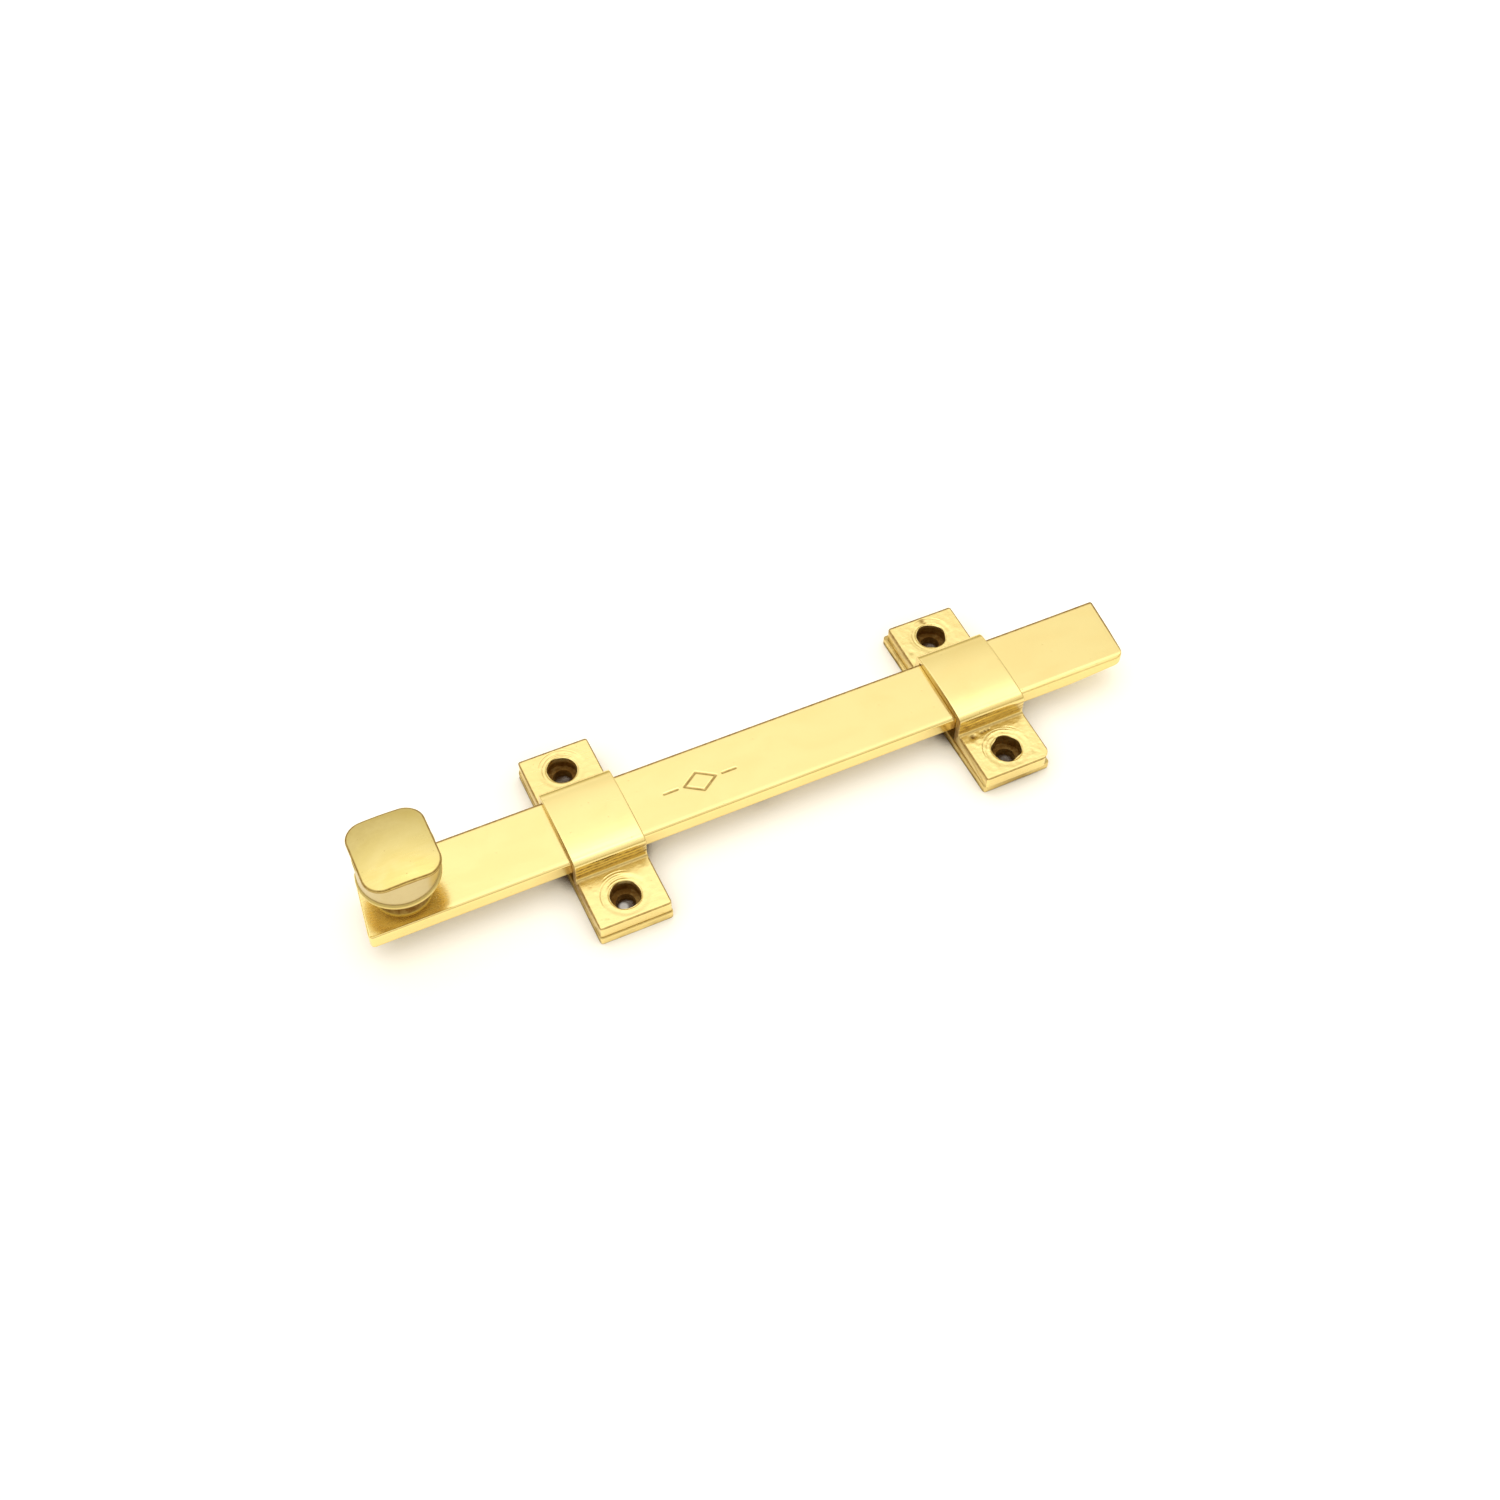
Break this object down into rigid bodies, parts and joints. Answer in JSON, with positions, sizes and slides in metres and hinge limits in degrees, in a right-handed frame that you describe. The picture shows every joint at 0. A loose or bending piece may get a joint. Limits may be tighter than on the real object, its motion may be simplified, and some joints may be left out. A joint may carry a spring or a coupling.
{
  "type": "flat slide bolt latch",
  "caption": "Surface-mounted flat slide bolt: a knobbed bar that slides through two screwed-down strap guides to lock a door or window.",
  "frame": {"origin": "centre of the four screw holes, on the mounting plane that both base plates lie on", "axes": "+X along the bar, the way the bolt is thrown; +Z away from the door; +Y across the bar"},
  "size_m": [0.1499, 0.0404, 0.0213],
  "materials": {
    "bar_brass": "polished",
    "knob_brass": "satin polished",
    "screw_brass": "machined",
    "guide_brass": "polished over a cast surface",
    "base_brass": "cast, lightly polished",
    "spring_bronze": "rolled spring strip"
  },
  "bodies": {
    "guides": {"rear_guide_strap": "guide_brass", "front_guide_strap": "guide_brass", "rear_base_plate": "base_brass", "front_base_plate": "base_brass", "rear_bow_spring": "spring_bronze", "front_bow_spring": "spring_bronze"},
    "bolt": {"bolt_bar": "bar_brass", "knob": "knob_brass", "knob_screw": "screw_brass", "stop_pin": "screw_brass"}
  },
  "joints": [
    {"name": "bolt_slide", "type": "slide", "parent": "guides", "child": "bolt", "axis": [1, 0, 0], "range_m": [-0.0225, 0.0225]}
  ]
}
